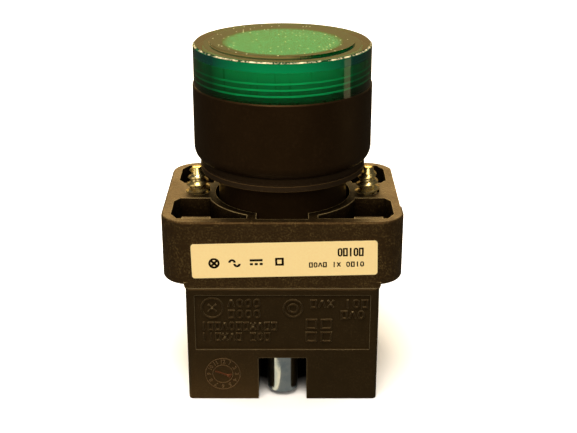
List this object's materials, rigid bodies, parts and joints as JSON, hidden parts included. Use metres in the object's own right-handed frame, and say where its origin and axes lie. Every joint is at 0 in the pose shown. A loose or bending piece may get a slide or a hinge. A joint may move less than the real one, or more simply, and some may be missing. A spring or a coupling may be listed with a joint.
{
  "type": "panel pilot light",
  "caption": "Round panel pilot light with a green screw-on lens, panel clamping base, bayonet lamp and a lamp-holder block with two screw terminals.",
  "frame": {"origin": "on the head axis at the foot of the lamp-holder block, where the light stands", "axes": "+Z along the head axis towards the lens; -Y towards the labelled front; +X to the right seen from the front"},
  "size_m": [0.04, 0.0301, 0.0592],
  "materials": {
    "lens": "polished transparent green",
    "diffuser": "frosted",
    "head": "fine matt moulded",
    "gasket": "moulded rubber",
    "base": "glass-filled moulded",
    "label": "satin printed film",
    "block": "glass-filled moulded",
    "yellow_zinc": "yellow passivated zinc plating",
    "bright_zinc": "bright zinc plating",
    "brass": "stamped brass",
    "nickel": "nickel plating",
    "insulator": "laminated board",
    "spring_steel": "spring wire",
    "lamp_glass": "clear glass",
    "dark_glass": "dark glass foot",
    "solder": "solder"
  },
  "bodies": {
    "base": {"mounting_base": "base", "base_label": "label", "lamp_block": "block", "terminal_plate_left": "brass", "terminal_plate_right": "brass", "socket_shell": "brass", "socket_insulator": "insulator", "contact_spring": "spring_steel"},
    "head": {"head_body": "head", "sealing_gasket": "gasket"},
    "diffuser": {"diffuser_disc": "diffuser"},
    "lens": {"lens_cap": "lens"},
    "lamp": {"lamp_cap": "nickel", "lamp_insulator": "dark_glass", "lamp_tip": "solder", "lamp_bulb": "lamp_glass"},
    "contact": {"centre_contact": "nickel"},
    "clamp_screw_left": {"clamp_screw_left": "yellow_zinc"},
    "terminal_clamp_left": {"terminal_clamp_left": "bright_zinc"},
    "terminal_screw_left": {"terminal_screw_left": "bright_zinc"},
    "clamp_screw_right": {"clamp_screw_right": "yellow_zinc"},
    "terminal_clamp_right": {"terminal_clamp_right": "bright_zinc"},
    "terminal_screw_right": {"terminal_screw_right": "bright_zinc"},
    "block_screw_front": {"block_screw_front": "bright_zinc"},
    "block_screw_back": {"block_screw_back": "bright_zinc"}
  },
  "joints": [
    {"name": "head_turn", "type": "hinge", "parent": "base", "child": "head", "pos_m": [0, 0, 0.0359], "axis": [0, 0, 1], "range_deg": [0, 45]},
    {"name": "lens_lift", "type": "slide", "parent": "head", "child": "diffuser", "axis": [0, 0, 1], "range_m": [0, 0.00451]},
    {"name": "lens_turn", "type": "hinge", "parent": "diffuser", "child": "lens", "pos_m": [0, 0, 0.0522], "axis": [0, 0, 1], "range_deg": [0, 1620]},
    {"name": "lamp_push", "type": "slide", "parent": "base", "child": "lamp", "axis": [0, 0, 1], "range_m": [-0.0012, 0], "stiffness_N_per_m": 1000, "springref_m": 0.002},
    {"name": "contact_press", "type": "slide", "parent": "base", "child": "contact", "axis": [0, 0, 1], "range_m": [-0.0012, 0], "deforming": ["contact_spring"]},
    {"name": "clamp_screw_left_travel", "type": "slide", "parent": "base", "child": "clamp_screw_left", "axis": [0, 0, 1], "range_m": [-0.005, 0]},
    {"name": "terminal_clamp_left_lift", "type": "slide", "parent": "base", "child": "terminal_clamp_left", "axis": [0, 0, 1], "range_m": [0, 0.0027]},
    {"name": "terminal_screw_left_turn", "type": "hinge", "parent": "terminal_clamp_left", "child": "terminal_screw_left", "pos_m": [-0.0106, 0.0086, 0.0105], "axis": [0, 0, 1], "range_deg": [0, 1620]},
    {"name": "clamp_screw_right_travel", "type": "slide", "parent": "base", "child": "clamp_screw_right", "axis": [0, 0, 1], "range_m": [-0.005, 0]},
    {"name": "terminal_clamp_right_lift", "type": "slide", "parent": "base", "child": "terminal_clamp_right", "axis": [0, 0, 1], "range_m": [0, 0.0027]},
    {"name": "terminal_screw_right_turn", "type": "hinge", "parent": "terminal_clamp_right", "child": "terminal_screw_right", "pos_m": [0.0106, -0.0086, 0.0105], "axis": [0, 0, 1], "range_deg": [0, 1620]},
    {"name": "block_screw_front_travel", "type": "slide", "parent": "base", "child": "block_screw_front", "axis": [0, 0, 1], "range_m": [-0.0042, 0]},
    {"name": "block_screw_back_travel", "type": "slide", "parent": "base", "child": "block_screw_back", "axis": [0, 0, 1], "range_m": [-0.0042, 0]}
  ],
  "couplings": [
    {"joint": "lens_lift", "follows": "lens_turn", "m_per_rad": 0.00015915},
    {"joint": "contact_press", "follows": "lamp_push", "ratio": 1},
    {"joint": "terminal_screw_left_turn", "follows": "terminal_clamp_left_lift", "rad_per_m": 10472},
    {"joint": "terminal_screw_right_turn", "follows": "terminal_clamp_right_lift", "rad_per_m": 10472}
  ]
}
